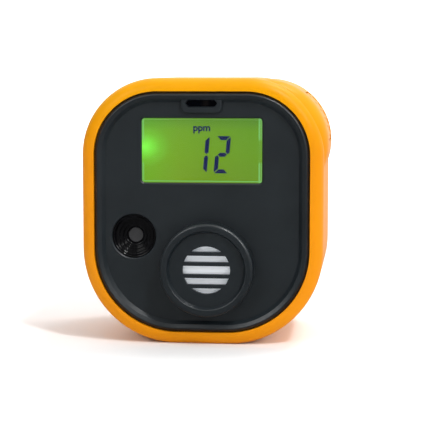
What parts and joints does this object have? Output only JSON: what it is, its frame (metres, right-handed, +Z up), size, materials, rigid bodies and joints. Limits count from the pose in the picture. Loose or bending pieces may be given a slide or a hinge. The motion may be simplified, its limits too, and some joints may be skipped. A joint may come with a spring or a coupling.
{
  "type": "portable gas detector",
  "caption": "Personal single-gas detector: rounded orange case, dark face with a screen, sounder and screw-on sensor cap, corner push button, sprung belt clip.",
  "frame": {"origin": "middle of the flat foot that the case stands on", "axes": "+Z up, the face with the screen towards -Y, +X to the right of someone facing it"},
  "size_m": [0.061, 0.0635, 0.0657],
  "materials": {
    "case_orange": "satin moulded",
    "cover_black": "fine matt texture",
    "horn_black": "gloss",
    "window_clear": "clear gloss",
    "lcd_glass": "gloss",
    "frame_black": "matt",
    "backlight": "diffuse",
    "strip_rubber": "matt",
    "circuit_board": "solder mask",
    "chip_black": "matt",
    "led_red": "gloss",
    "smoked_window": "dark gloss",
    "seal_rubber": "matt",
    "mesh_grey": "woven",
    "sensor_grey": "satin",
    "contact_brass": "bright",
    "membrane_white": "matt membrane",
    "cell_wrap": "plain wrap",
    "foam_grey": "foam",
    "sprung_steel": "bright",
    "clip_steel": "satin nickel",
    "screw_steel": "zinc",
    "weight_metal": "dull"
  },
  "bodies": {
    "case": {"case_shell": "case_orange", "front_cover": "cover_black", "cover_seal": "seal_rubber", "cover_screws": "screw_steel", "board_screws": "screw_steel", "display_window": "window_clear", "lcd_panel": "lcd_glass", "lcd_frame": "frame_black", "backlight_guide": "backlight", "contact_strips": "strip_rubber", "display_board": "circuit_board", "alarm_leds": "led_red", "led_window": "smoked_window", "board_header": "chip_black", "sounder_horn": "horn_black", "sounder_mesh": "mesh_grey", "sounder_gasket": "seal_rubber", "sounder": "chip_black", "gas_sensor": "sensor_grey", "sensor_sockets": "contact_brass", "main_board": "circuit_board", "board_components": "chip_black", "battery_cell": "cell_wrap", "battery_holder": "frame_black", "battery_contacts": "sprung_steel", "battery_pad": "foam_grey", "switch_body": "chip_black", "button_seal": "seal_rubber", "vibration_motor": "sprung_steel", "motor_saddle": "seal_rubber", "clip_base": "clip_steel", "clip_screws": "screw_steel", "clip_pin": "clip_steel", "clip_spring": "sprung_steel"},
    "filter": {"filter_membrane": "membrane_white", "filter_gasket": "seal_rubber"},
    "cap": {"sensor_cap": "cover_black"},
    "button": {"mode_button": "case_orange", "button_retainer": "sprung_steel"},
    "plunger": {"switch_plunger": "chip_black"},
    "vibrator": {"motor_shaft": "sprung_steel", "vibration_weight": "weight_metal"},
    "clip": {"clip_arm": "clip_steel"}
  },
  "joints": [
    {"name": "cap_rise", "type": "slide", "parent": "case", "child": "filter", "axis": [0, -1, 0], "range_m": [0, 0.0038]},
    {"name": "cap_turn", "type": "hinge", "parent": "filter", "child": "cap", "pos_m": [0.0016, -0.0232, 0.0189], "axis": [0, -1, 0], "range_deg": [0, 900]},
    {"name": "button_press", "type": "slide", "parent": "case", "child": "button", "axis": [-0.8918, 0, -0.4524], "range_m": [0, 0.0006], "stiffness_N_per_m": 1500, "springref_m": -0.0006},
    {"name": "plunger_press", "type": "slide", "parent": "case", "child": "plunger", "axis": [-0.8918, 0, -0.4524], "range_m": [0, 0.0006]},
    {"name": "vibrator_spin", "type": "hinge", "parent": "case", "child": "vibrator", "pos_m": [0, 0.0105, 0.014], "axis": [1, 0, 0], "continuous": true},
    {"name": "clip_open", "type": "hinge", "parent": "case", "child": "clip", "pos_m": [0, 0.0295, 0.04], "axis": [1, 0, 0], "range_deg": [0, 24], "stiffness_Nm_per_rad": 0.25, "springref_deg": -34.38, "deforming": ["clip_spring"]}
  ],
  "couplings": [
    {"joint": "cap_rise", "follows": "cap_turn", "m_per_rad": 0.00023873},
    {"joint": "plunger_press", "follows": "button_press", "ratio": 1}
  ]
}
